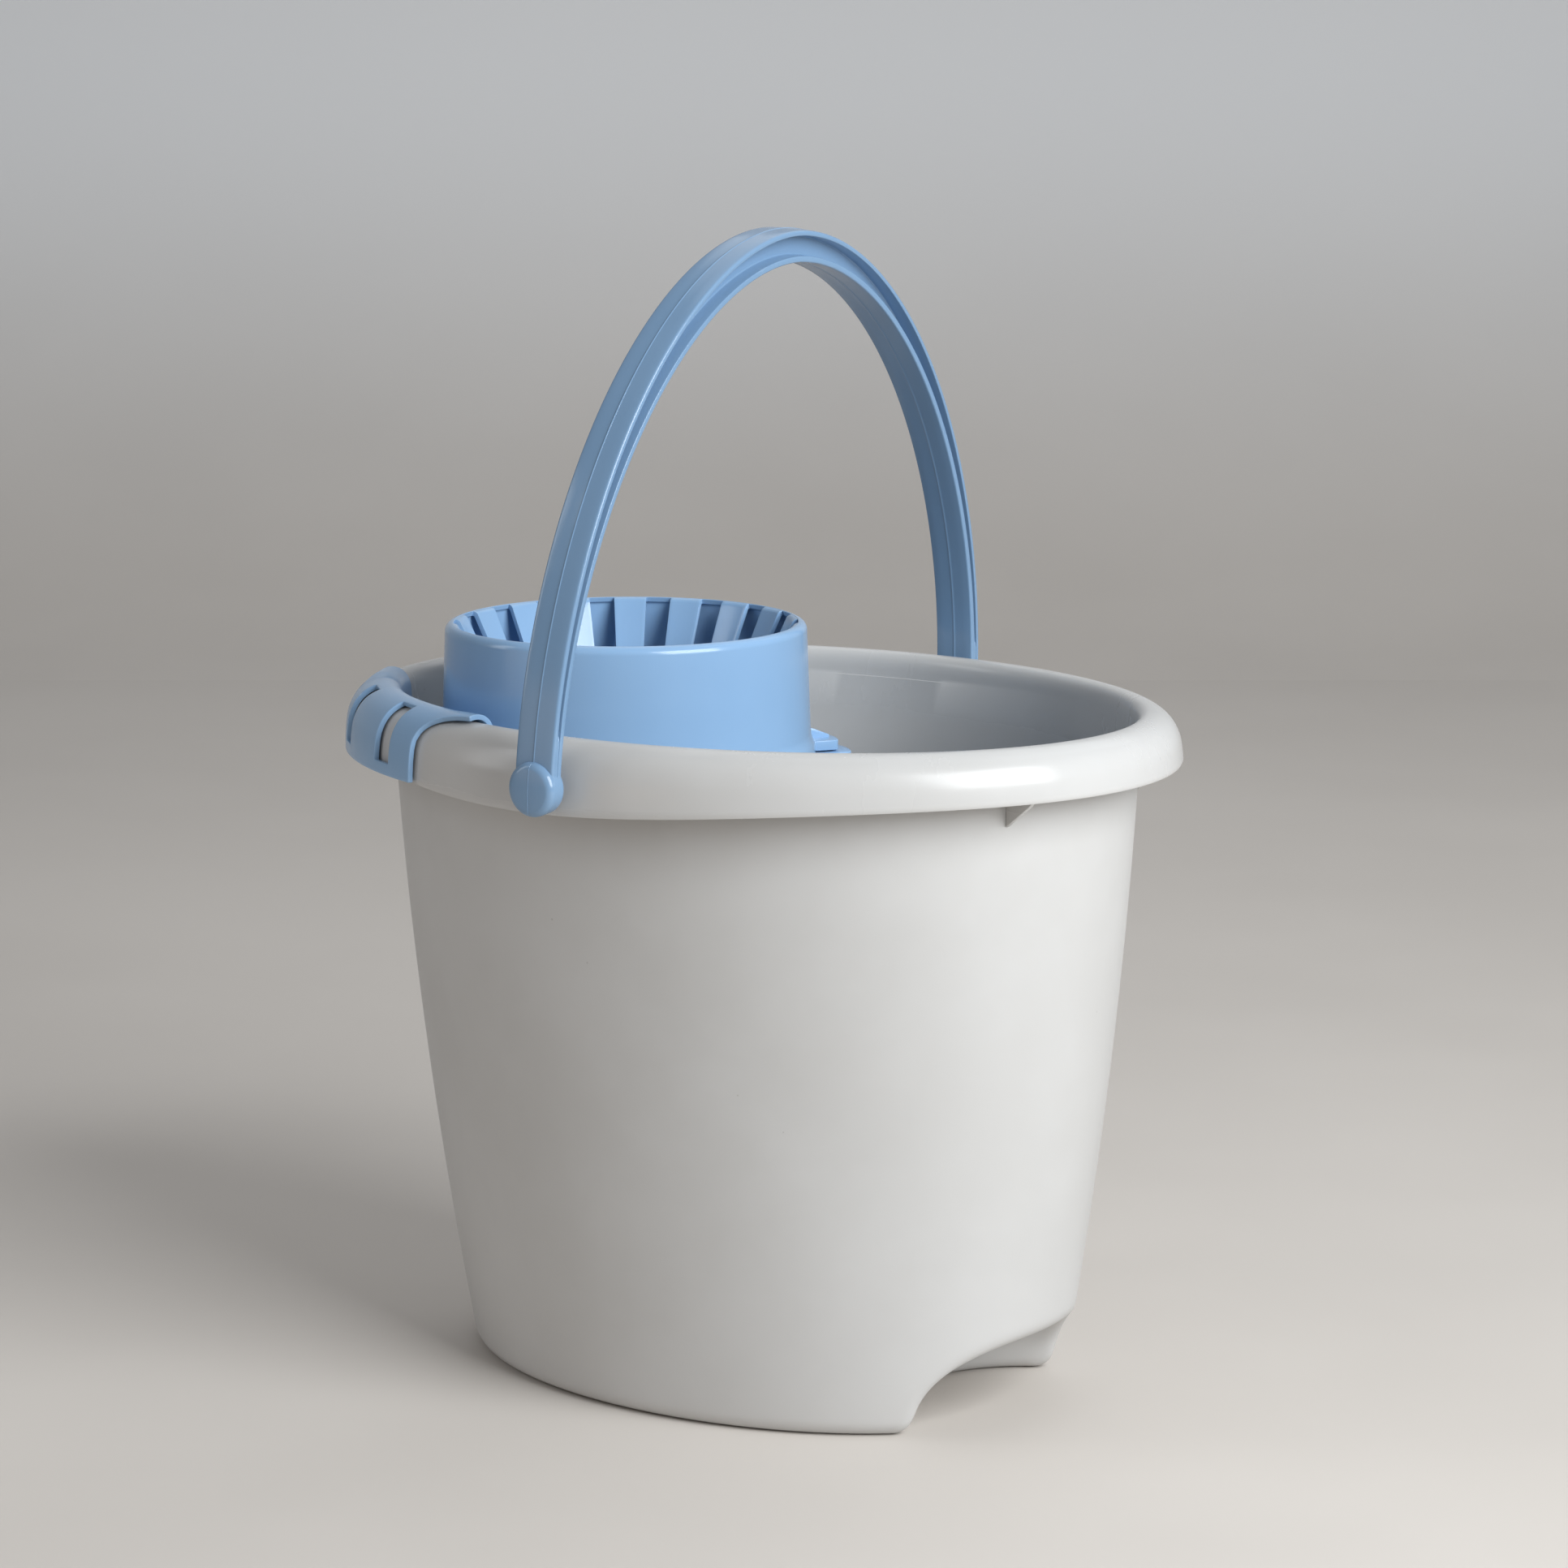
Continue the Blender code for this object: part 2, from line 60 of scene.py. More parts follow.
# Rim: (offset out from the crest, drop below it), over its face and back up its underside
RIM_FACE = (
    (-0.0055, 0.0090), (-0.0051, 0.0050), (-0.0041, 0.0022), (-0.0024, 0.0006), (0.0, 0.0),
    (0.0040, 0.0007), (0.0080, 0.0029), (0.0110, 0.0062), (0.0130, 0.0105), (0.0139, 0.0150),
    (0.0143, 0.0190),
)
RIM_EDGE = ((0.0142, 0.0197), (0.0136, 0.0203), (0.0129, 0.0203), (0.0123, 0.0197))
RIM_UNDERSIDE = (
    (0.0122, 0.0185), (0.0117, 0.0150), (0.0109, 0.0118), (0.0090, 0.0083), (0.0064, 0.0054),
    (0.0032, 0.0034), (0.0000, 0.0032), (-0.0016, 0.0046), (-0.0022, 0.0070),
)
SKIRT_OUT, SKIRT_DROP = 0.0143, 0.0196
DIP, DIP_ANGLE, DIP_SPREAD = 0.0088, 96.0, 25.0
GUSSET_ANGLES = (23.5, 156.5, -156.5, -23.5)

# Tub
CREST_A, CREST_B, CREST_Z = tub_high.x - SKIRT_OUT, tub_high.y - SKIRT_OUT, tub_high.z
BASE_A, BASE_B = 0.1382, 0.0943
WALL_TOP_INSET, WALL_BOW, WALL = 0.0027, 0.0047, 0.0024
BACK_TAPER, BACK_TAPER_END = 0.0038, 0.87
FLOOR_TOP, RECESS, FOOT_RING = 0.0045, 0.0015, 0.0165
CORNER_BLEND, FLOOR_BLEND = 0.0075, 0.0100
NOTCH_X, NOTCH_RADIUS, NOTCH_HEIGHT, NOTCH_POWER = 0.136, 0.0570, 0.0350, 2.5
NOTCH_BLEND = 0.0085
RAY_ORIGIN = np.array((-0.080, 0.0, 0.110))

# Handle
HALF_SPAN, RISE, ARCH_POWER = 0.1563, 0.2110, 1.885
HANDLE_HALF, WEB_HALF = 0.0092, 0.0025
DEPTH_FOOT, DEPTH_TOP = 0.0064, 0.0133
LEAN = math.radians(2.9)
OUTER_FLANGE, INNER_FLANGE = 0.0024, 0.0026
FOOT_LENGTH, CHANNEL_START = 0.0195, 0.0300
BOSS_RADIUS, BOSS_BACK, BOSS_FRONT, BOSS_ROUNDING = 0.0110, 0.1481, 0.1590, 0.0032
BOSS_CROWN, FOOT_OVERRUN = 0.0004, 0.0011

# Wringer
CLIP_ANGLE, FLAP_ANGLE = -131.7, 16.4
NEAR_TIP, FAR_TIP = 24.1, 27.9
CLIP_GAP, CLIP_SHEET = 0.0006, 0.0022
WINDOW_INNER, WINDOW_OUTER = 6.2, 10.7
CUP_FROM_CREST, CUP_RADIUS, CUP_SHEET = 0.0991, 0.0761, 0.0020
CUP_TOP, CUP_BOTTOM = cup_high.z, 0.2559
PLATE_BOTTOM, PLATE_TOP = carrier_low.z, carrier_low.z + 0.0043
FINGERS, SLOT_SHARE, FIRST_SLOT = 18, 0.44, 15.0


# Mesh helpers


def mesh_object(name, points, faces, smooth_angle=35):
    mesh = bpy.data.meshes.new(name)
    mesh.from_pydata([tuple(p) for p in points], [], faces)
    obj = bpy.data.objects.new(name, mesh)
    bpy.context.scene.collection.objects.link(obj)
    tidy_mesh(obj, smooth_angle)
    return obj


def tidy_mesh(obj, smooth_angle=35):
    """Normals facing out, and smooth shading except across real edges."""
    bm = bmesh.new()
    bm.from_mesh(obj.data)
    bmesh.ops.recalc_face_normals(bm, faces=bm.faces)
    bm.to_mesh(obj.data)
    bm.free()
    obj.data.shade_smooth()
    obj.data.set_sharp_from_angle(angle=math.radians(smooth_angle))


def stack(name, rings, poles=None, smooth_angle=35):
    """A closed skin over rings of points. Its ends close on two pole points, or with flat caps."""
    rows, columns = rings.shape[:2]
    points = list(rings.reshape(-1, 3))
    faces = []
    for row in range(rows - 1):
        for i in range(columns):
            j = (i + 1) % columns
            low, high = row * columns, (row + 1) * columns
            faces.append((low + i, low + j, high + j, high + i))
    last = (rows - 1) * columns
    if poles is None:
        faces.append(tuple(range(columns)))
        faces.append(tuple(range(last, last + columns)))
    else:
        for pole, start in zip(poles, (0, last)):
            points.append(pole)
            for i in range(columns):
                faces.append((start + i, start + (i + 1) % columns, len(points) - 1))
    return mesh_object(name, points, faces, smooth_angle)


def sheet(name, front, back, keep, wrap=False):
    """A sheet with thickness: two grids of points, the cells that exist, and side walls round them."""
    rows, columns = front.shape[:2]
    size = rows * columns
    points = np.concatenate([front.reshape(-1, 3), back.reshape(-1, 3)])
    sides = {}
    faces = []
    for row, column in zip(*np.nonzero(keep)):
        right = (column + 1) % columns if wrap else column + 1
        corners = [row * columns + column, row * columns + right]
        corners += [(row + 1) * columns + right, (row + 1) * columns + column]
        faces.append(tuple(corners))
        faces.append(tuple(size + c for c in reversed(corners)))
        for a, b in zip(corners, corners[1:] + corners[:1]):
            if not sides.pop((b, a), False):
                sides[(a, b)] = True
    faces += [(b, a, size + a, size + b) for a, b in sides]
    used = sorted({corner for face in faces for corner in face})
    place = {old: new for new, old in enumerate(used)}
    faces = [tuple(place[c] for c in face) for face in faces]
    return mesh_object(name, points[used], faces)


def rounded(obj, width, segments=3, angle=40):
    step = obj.modifiers.new("rounded_edges", "BEVEL")
    step.width = width
    step.segments = segments
    step.limit_method = "ANGLE"
    step.angle_limit = math.radians(angle)
    step.use_clamp_overlap = True
    bake(obj)
    return obj


def bake(obj, smooth_angle=35):
    """Turns the object's modifiers into its own mesh."""
    graph = bpy.context.evaluated_depsgraph_get()
    graph.update()
    mesh = bpy.data.meshes.new_from_object(obj.evaluated_get(graph))
    obj.modifiers.clear()
    obj.data = mesh
    tidy_mesh(obj, smooth_angle)


def joined(obj, operation, *others):
    for other in others:
        step = obj.modifiers.new(other.name, "BOOLEAN")
        step.operation = operation
        step.object = other
        step.solver = "EXACT"
    bake(obj)
    for other in others:
        bpy.data.objects.remove(other)
    return obj


def smooth_line(points, count, closed=False):
    """Evenly spaced points on a Catmull-Rom curve through these points."""
    p = np.array(points, float)
    if closed:
        padded = np.concatenate([p[-1:], p, p[:2]])
    else:
        padded = np.concatenate([2 * p[:1] - p[1:2], p, 2 * p[-1:] - p[-2:-1]])
    pieces = []
    for a, b, c, d in zip(padded, padded[1:], padded[2:], padded[3:]):
        u = np.linspace(0, 1, 12, endpoint=False)[:, None]
        pieces.append(
            0.5 * (2 * b + (c - a) * u + (2 * a - 5 * b + 4 * c - d) * u**2
                   + (3 * b - a - 3 * c + d) * u**3)
        )
    pieces.append(padded[-2][None])
    fine = np.concatenate(pieces)
    return evenly(fine, count)


def evenly(line, count):
    """The line, cut into count points that are equally far apart."""
    run = np.concatenate([[0], np.cumsum(np.linalg.norm(np.diff(line, axis=0), axis=1))])
    wanted = np.linspace(0, run[-1], count)
    return np.stack([np.interp(wanted, run, line[:, k]) for k in range(line.shape[1])], axis=1)


def arc(centre, radius, start, end, steps):
    """Points on a circle in a plane, between two angles in degrees."""
    turns = np.radians(np.linspace(start, end, steps))
    return [(centre[0] + radius * math.cos(t), centre[1] + radius * math.sin(t)) for t in turns]


def eased(value, low, high):
    t = np.clip((np.asarray(value, float) - low) / (high - low), 0.0, 1.0)
    return t * t * (3 - 2 * t)


def smooth_max(p, q, blend):
    overlap = np.maximum(blend - np.abs(p - q), 0.0)
    return np.maximum(p, q) + overlap**2 / (4 * blend)


# Tub


def wall_half_axes(z):
    t = np.asarray(z, float) / CREST_Z
    bow = WALL_BOW * 4 * t * (1 - t)
    top_a, top_b = CREST_A - WALL_TOP_INSET, CREST_B - WALL_TOP_INSET
    return BASE_A + (top_a - BASE_A) * t + bow, BASE_B + (top_b - BASE_B) * t + bow


def back_taper(z):
    """How much shorter the oval is on its -X side at height z: it draws in towards the base."""
    return BACK_TAPER * np.maximum(1 - np.asarray(z, float) / CREST_Z / BACK_TAPER_END, 0.0) ** 1.3


def oval_distance(x, y, a, b):
    """How far outside an ellipse a point is, near enough close to it."""
    rho = np.hypot(x / a, y / b)
    return (rho - 1) * rho / np.maximum(np.hypot(x / a**2, y / b**2), 1e-6)


def notch_distance(x, y, z, extra):
    """How far outside the notch's dome a point is. Extra thickness makes the dome larger."""
    radius, height, n = NOTCH_RADIUS + extra, NOTCH_HEIGHT + extra, NOTCH_POWER
    r, up = np.hypot(x - NOTCH_X, y) / radius, np.maximum(z, 0.0) / height
    rho = np.maximum(r**n + up**n, 1e-9) ** (1 / n)
    slope = np.hypot(r ** (n - 1) / radius, up ** (n - 1) / height) / rho ** (n - 1)
    return (rho - 1) / np.maximum(slope, 1e-3)


def underside(x, y):
    """Height of the base's lower face: a flat foot ring round a shallow recess."""
    from_oval = -outside_of_wall(x, y, 0.0, 0.0)
    from_notch = np.hypot(x - NOTCH_X, y) - NOTCH_RADIUS
    inwards = -smooth_max(-from_oval, -from_notch, 0.010)
    return RECESS * eased(inwards, FOOT_RING, FOOT_RING + 0.003)


def outside_of_wall(x, y, z, inset):
    a, b = wall_half_axes(z)
    a = np.where(x < 0, a - back_taper(z), a)
    return oval_distance(x, y, a - inset, b - inset)


def outside_of_tub(p):
    x, y, z = p[..., 0], p[..., 1], p[..., 2]
    body = smooth_max(outside_of_wall(x, y, z, 0.0), underside(x, y) - z, CORNER_BLEND)
    return smooth_max(body, -notch_distance(x, y, z, 0.0), NOTCH_BLEND)


def outside_of_hollow(p):
    x, y, z = p[..., 0], p[..., 1], p[..., 2]
    body = smooth_max(outside_of_wall(x, y, z, WALL), FLOOR_TOP - z, FLOOR_BLEND)
    return smooth_max(body, -notch_distance(x, y, z, WALL), NOTCH_BLEND * 0.7)


def first_crossing(distance, aims):
    """Where rays from inside the tub towards these points first leave the solid."""
    towards = aims - RAY_ORIGIN
    shares = np.linspace(0.35, 1.08, 90)
    low = np.full(aims.shape[:2], shares[-2])
    found = np.zeros(aims.shape[:2], bool)
    for a, b in zip(shares, shares[1:]):
        out = distance(RAY_ORIGIN + towards * b) > 0
        low = np.where(out & ~found, a, low)
        found |= out
    high = low + (shares[1] - shares[0])
    for _ in range(22):
        middle = (low + high) / 2
        out = distance(RAY_ORIGIN + towards * middle[..., None]) > 0
        high = np.where(out, middle, high)
        low = np.where(out, low, middle)
    return RAY_ORIGIN + towards * low[..., None]


def tub_angles():
    """Ellipse angles of the tub's columns, closer together round the notch."""
    fine = np.arange(-42.0, 42.0, 0.6)
    coarse = np.linspace(42.0, 318.0, 174, endpoint=False)
    return np.radians(np.concatenate([fine, coarse]))


def wall_rings(angles, heights, inset=0.0):
    rings = []
    for z in heights:
        a, b = wall_half_axes(z)
        reach = a - inset - np.where(np.cos(angles) < 0, back_taper(z), 0.0)
        x, y = reach * np.cos(angles), (b - inset) * np.sin(angles)
        rings.append(np.stack([x, y, np.full_like(x, z)], axis=1))
    return np.array(rings)


def base_rings(angles, lowest_z, shares, inset=0.0):
    """Aims on the base, from its outline in to the point under the rays' origin."""
    outline = wall_rings(angles, [lowest_z], inset)[0]
    pole = np.array((RAY_ORIGIN[0], RAY_ORIGIN[1], lowest_z))
    return np.array([outline + (pole - outline) * share for share in shares])


def skirt_dip(degrees):
    """How much lower the skirt hangs: it is deepest beside the pivots."""
    return DIP * np.exp(-(((np.abs(np.abs(degrees) - DIP_ANGLE)) / DIP_SPREAD) ** 2) / 2)


def rim_rings(angles, profile):
    degrees = (np.degrees(angles) + 180) % 360 - 180
    rings = []
    for offset, drop in profile:
        z = CREST_Z - drop - skirt_dip(degrees) * (max(drop, 0.0) / SKIRT_DROP) ** 2
        x, y = (CREST_A + offset) * np.cos(angles), (CREST_B + offset) * np.sin(angles)
        rings.append(np.stack([x, y, z], axis=1))
    return np.array(rings)


def on_oval(degrees, offset, z):
    angle = math.radians(degrees)
    return np.array(((CREST_A + offset) * math.cos(angle), (CREST_B + offset) * math.sin(angle), z))


def gusset(degrees):
    """A thin triangular web between the wall and the skirt, a little below the skirt's edge."""
    profile = [(-0.0040, 0.2552), (-0.0040, 0.2820), (0.0090, 0.2820), (0.0131, 0.2745)]
    profile += [(0.0131, 0.2672), (0.0122, 0.2660)]
    angle = math.radians(degrees)
    across = np.array((-math.sin(angle), math.cos(angle), 0.0)) * 0.0018
    outline = np.array([on_oval(degrees, offset, z) for offset, z in profile])
    web = stack(f"gusset_{degrees:+.0f}", np.array([outline - across / 2, outline + across / 2]))
    return rounded(web, 0.0004, 2)


def pivot_hole(side):
    turns = np.linspace(0, 2 * math.pi, 48, endpoint=False)
    rings = []
    for y in (0.136, 0.152):
        ring = [(0.0049 * math.cos(t), side * y, PIVOT_Z + 0.0049 * math.sin(t)) for t in turns]
        rings.append(ring)
    return stack(f"pivot_hole_{side:+d}", np.array(rings))


def make_tub():
    angles = tub_angles()
    upper = np.linspace(RAY_ORIGIN[2], 0.2765, 12)
    low_wall = np.concatenate([np.linspace(0.100, 0.052, 6), np.linspace(0.047, 0.0, 38)])
    inward = np.concatenate([np.linspace(0.007, 0.30, 42), np.linspace(0.34, 0.97, 10)])
    aims = np.concatenate([
        wall_rings(angles, low_wall),
        base_rings(angles, 0.0, inward),
    ])
    outside = first_crossing(outside_of_tub, aims)
    low_inside = np.concatenate([np.linspace(0.100, 0.056, 5), np.linspace(0.051, FLOOR_TOP, 22)])
    inward = np.concatenate([np.linspace(0.013, 0.30, 24), np.linspace(0.35, 0.97, 8)])
    aims = np.concatenate([
        wall_rings(angles, low_inside, WALL),
        base_rings(angles, FLOOR_TOP, inward, WALL),
    ])
    inside = first_crossing(outside_of_hollow, aims)
    profile = smooth_line(RIM_FACE + RIM_EDGE + RIM_UNDERSIDE, 62)
    rings = np.concatenate([
        outside[::-1],
        wall_rings(angles, upper),
        rim_rings(angles, profile)[::-1],
        wall_rings(angles, upper, WALL)[::-1],
        inside,
    ])
    x, y = RAY_ORIGIN[0], RAY_ORIGIN[1]
    tub = stack("tub", rings, poles=((x, y, RECESS), (x, y, FLOOR_TOP)), smooth_angle=50)
    joined(tub, "UNION", *[gusset(degrees) for degrees in GUSSET_ANGLES])
    joined(tub, "DIFFERENCE", pivot_hole(-1), pivot_hole(1))
    return tub


# Handle


def handle_section(depth, share):
    """(x, depth in from the outer face) round the section: two flanges with a parting line down the
    middle of each, and a web between them. The share is 0 at the solid foot."""
    half = HANDLE_HALF
    web = half - 0.0002 - (half - 0.0002 - WEB_HALF) * share
    low, high = OUTER_FLANGE, depth - INNER_FLANGE
    lip = 0.0004 * share + 0.00002
    soft = min(0.0007, 0.25 * (high - low), 0.3 * (half - web))
    side = [(0.0, -0.00030), (0.00018, -0.00026), (0.00038, -0.00006)]
    side += [(0.0010, -0.00002), (half * 0.45, 0.0), (half - 0.0020, 0.00010)]
    side += arc((half - 0.0011, 0.0013), 0.0011, -84, 0, 8)
    side += arc((half - lip, low - lip), lip, 0, 84, 4)
    side += [(web + 2.2 * soft, low + 0.00005), (web + 0.7 * soft, low + 0.4 * soft)]
    side += [(web + 0.1 * soft, low + 1.2 * soft), (web, (low + high) / 2)]
    side += [(web + 0.1 * soft, high - 1.2 * soft), (web + 0.7 * soft, high - 0.4 * soft)]
    side += [(web + 2.2 * soft, high - 0.00005)]
    side += arc((half - lip, high + lip), lip, -84, 0, 4)
    side += arc((half - 0.0008, depth - 0.0008), 0.0008, 0, 84, 6)
    side += [(half * 0.5, depth), (0.0010, depth), (0.00040, depth), (0.00018, depth + 0.00014)]
    return side + [(0.0, depth + 0.00018)] + [(-x, d) for x, d in side[:0:-1]]


def arch_point(x, d, c, s):
    y = (HALF_SPAN - d) * math.copysign(abs(c) ** (2 / ARCH_POWER), c)
    return (x, y, (RISE - d) * s ** (2 / ARCH_POWER))


def handle_ring(turn):
    c, s = math.cos(turn), abs(math.sin(turn))
    climb = s ** (2 / ARCH_POWER)
    share = eased(RISE * climb, FOOT_LENGTH, CHANNEL_START)
    depth = DEPTH_FOOT + (DEPTH_TOP - DEPTH_FOOT) * climb**2
    ring = np.array([arch_point(x, d, c, s) for x, d in handle_section(depth, share)])
    if RISE * climb < FOOT_OVERRUN:
        ring[:, 2] -= FOOT_OVERRUN
    return ring


def leaned(points):
    """Points about the pivot line, leaned over and lifted to the pivot's height."""
    x, y, z = points[..., 0], points[..., 1], points[..., 2]
    c, s = math.cos(LEAN), math.sin(LEAN)
    return np.stack([x * c + z * s, y, z * c - x * s + PIVOT_Z], axis=-1)


def boss(side):
    """A pebble-like button at the handle's foot, with the snap pin on its back."""
    inner = BOSS_RADIUS - BOSS_ROUNDING
    profile = [(0.0030, 0.1368), (0.0040, 0.1370), (0.0056, 0.1388), (0.0056, 0.1396)]
    profile += [(0.0045, 0.1404), (0.0045, BOSS_BACK)]
    profile += [
        (inner + 0.9 * BOSS_ROUNDING * math.cos(t), BOSS_BACK + 0.0030 + 0.0030 * math.sin(t))
        for t in np.radians(np.linspace(-90, 0, 8))
    ]
    profile += [
        (inner + BOSS_ROUNDING * math.cos(t), BOSS_FRONT - BOSS_ROUNDING * (1 - math.sin(t)))
        for t in np.radians(np.linspace(0, 82, 14))
    ]
    crown = BOSS_FRONT + BOSS_CROWN
    profile += [
        (inner * share, crown - BOSS_CROWN * share**2) for share in (0.85, 0.65, 0.45, 0.25, 0.1)
    ]
    turns = np.linspace(0, 2 * math.pi, 72, endpoint=False) + 0.02
    rings = np.array([
        [(r * math.cos(t), side * y, r * math.sin(t)) for t in turns] for r, y in profile
    ])
    poles = np.array([(0.0, side * 0.1368, 0.0), (0.0, side * crown, 0.0)])
    return stack(f"boss_{side:+d}", leaned(rings), poles=leaned(poles), smooth_angle=60)


def parting_line(side):
    """The fine raised line that crosses a boss's face."""
    heights = np.linspace(-BOSS_RADIUS, BOSS_RADIUS, 41)
    inner = BOSS_RADIUS - BOSS_ROUNDING
    rings = []
    for z in heights:
        over = max(abs(z) - inner, 0.0)
        y = BOSS_FRONT - BOSS_ROUNDING + math.sqrt(max(BOSS_ROUNDING**2 - over**2, 0.0))
        y += BOSS_CROWN * max(0.0, 1 - (z / inner) ** 2)
        y = side * (y + 0.00014)
        rings.append([(-0.0003, y - side * 0.0006, z), (0.0, y, z), (0.0003, y - side * 0.0006, z)])
    return stack(f"parting_line_{side:+d}", leaned(np.array(rings)))


def make_handle():
    turns = np.linspace(0, math.pi, 241)
    arch = stack("handle", leaned(np.array([handle_ring(t) for t in turns])), smooth_angle=40)
    joined(arch, "UNION", *[boss(side) for side in (-1, 1)])
    joined(arch, "UNION", *[parting_line(side) for side in (-1, 1)])
    return arch


# Wringer's carrier


def clip_frame():
    """Unit vectors out of the rim and along it at the clip, and the cup's centre in plan."""
    angle = math.radians(CLIP_ANGLE)
    out = np.array((math.cos(angle) / CREST_A, math.sin(angle) / CREST_B, 0.0))
    out /= np.linalg.norm(out)
    return out, np.array((-out[1], out[0], 0.0)), on_oval(CLIP_ANGLE, 0.0, 0.0) - out * CUP_FROM_CREST


def clip_path():
    """(offset, z) along the rim under the clip, evenly spaced, from the flange's foot to the flap's."""
    foot_z = PLATE_BOTTOM
    a, b = wall_half_axes(foot_z)
    inside = min(a - CREST_A, b - CREST_B) - WALL - 0.0004
    face = [(offset, CREST_Z - drop) for offset, drop in RIM_FACE[:-1]]
    line = [(inside, foot_z), (inside * 0.75 - 0.0051 * 0.25, foot_z + 0.008)] + face
    line += [(0.0144, CREST_Z - 0.0205), (0.0146, CREST_Z - 0.0262)]
    return smooth_line(line, 400)


def clip_offsets(path):
    """The path's normals, and the distance along it at each of its points."""
    tangent = np.gradient(path, axis=0)
    tangent /= np.linalg.norm(tangent, axis=1)[:, None]
    normal = np.stack([-tangent[:, 1], tangent[:, 0]], axis=1)
    run = np.concatenate([[0], np.cumsum(np.linalg.norm(np.diff(path, axis=0), axis=1))])
    return normal, run


def arm_edge(station):
    """Offset from the crest of the clip's outer edge, beyond the flap, down to the arm's tip."""
    stations = (FLAP_ANGLE, 16.8, 17.4, 18.2, 19.6, 21.5, 23.0, 24.0, 25.0, FAR_TIP)
    offsets = (0.0125, 0.0110, 0.0096, 0.0080, 0.0060, 0.0044, 0.0036, 0.0032, 0.0029, 0.0020)
    return np.interp(station, stations, offsets)


def make_clip():
    path = clip_path()
    normal, run = clip_offsets(path)
    over = path[:, 0] > -0.0050
    start = int(np.argmax(path[:, 1]))

    def distance_at(offset):
        """Distance along the path where it reaches this offset, on the outer side of the inner lip."""
        outer = np.arange(len(path)) >= start - 60
        return np.interp(offset, path[outer & over, 0], run[outer & over])

    window_top, arm_end = distance_at(0.0036), distance_at(0.0125)
    window_bottom = np.interp(CREST_Z - 0.0213, path[::-1, 1][:200], run[::-1][:200])
    rows = np.concatenate([
        np.linspace(0.0, window_top, 31, endpoint=False),
        np.linspace(window_top, arm_end, 11),
    ])
    below = np.concatenate([
        np.linspace(arm_end, window_bottom, 9, endpoint=False)[1:],
        np.linspace(window_bottom, run[-1], 5),
    ])
    bend = np.linspace(FLAP_ANGLE, 18.0, 7)
    near_arm = np.concatenate([bend, np.linspace(18.4, NEAR_TIP, 19)])
    far_arm = np.concatenate([bend, np.linspace(18.4, FAR_TIP, 22)])
    flap = np.concatenate([
        np.linspace(0.0, WINDOW_INNER, 11, endpoint=False),
        np.linspace(WINDOW_INNER, WINDOW_OUTER, 9, endpoint=False),
        np.linspace(WINDOW_OUTER, FLAP_ANGLE, 10, endpoint=False),
    ])
    stations = np.concatenate([-far_arm[::-1], -flap[:0:-1], flap, near_arm])
    count = len(rows) + len(below)
    front = np.zeros((count, len(stations), 3))
    back = np.zeros_like(front)
    for column, station in enumerate(stations):
        beyond = abs(station) > FLAP_ANGLE
        end = distance_at(arm_edge(abs(station))) if beyond else arm_end
        distances = np.concatenate([rows / arm_end * end, below])
        p = np.stack([np.interp(distances, run, path[:, k]) for k in (0, 1)], axis=1)
        n = np.stack([np.interp(distances, run, normal[:, k]) for k in (0, 1)], axis=1)
        lift = CLIP_GAP + 0.0006 * eased(abs(station), 17.0, 22.0) * eased(distances, 0.02, end)
        for row in range(count):
            inner = p[row] + n[row] * lift[row]
            outer = p[row] + n[row] * (lift[row] + CLIP_SHEET)
            back[row, column] = on_oval(CLIP_ANGLE + station, *inner)
            front[row, column] = on_oval(CLIP_ANGLE + station, *outer)
    keep = np.ones((count - 1, len(stations) - 1), bool)
    middle = (stations[:-1] + stations[1:]) / 2
    keep[len(rows) - 1:, np.abs(middle) > FLAP_ANGLE] = False
    level = np.concatenate([rows, below])
    centre = (level[:-1] + level[1:]) / 2
    in_window = (np.abs(middle) > WINDOW_INNER) & (np.abs(middle) < WINDOW_OUTER)
    keep[np.ix_((centre > window_top) & (centre < window_bottom), in_window)] = False
    return rounded(sheet("carrier", front, back, keep), 0.00055)


def bar(name, outline, low, high, edge=0.0006):
    """An upright-sided bar from its outline in plan, with small radii."""
    rings = np.array([[(p[0], p[1], z) for p in outline] for z in (low, high)])
    return rounded(stack(name, rings), edge)


def rounded_end(start, end, half_width, steps=14):
    """The outline of a bar away from the clip, between two distances from the cup's centre."""
    out, along, centre = clip_frame()
    rounding = half_width * 0.35
    outline = [centre - out * start + along * half_width]
    for turn in np.linspace(-math.pi / 2, math.pi / 2, steps):
        tip = -out * rounding * math.cos(turn) - along * half_width * math.sin(turn)
        outline.append(centre - out * (end - rounding) + tip)
    outline.append(centre - out * start - along * half_width)
    return outline


def turned(name, profile, centre, sides=180, smooth_angle=35):
    """A ring turned about an upright line, from its closed profile of (radius, z)."""
    turns = np.linspace(0, 2 * math.pi, sides, endpoint=False)
    points, faces = [], []
    for t in turns:
        c, s = math.cos(t), math.sin(t)
        points += [(centre[0] + r * c, centre[1] + r * s, z) for r, z in profile]
    n = len(profile)
    for i in range(sides):
        j = (i + 1) % sides
        for k in range(n):
            m = (k + 1) % n
            faces.append((i * n + k, j * n + k, j * n + m, i * n + m))
    return mesh_object(name, points, faces, smooth_angle)


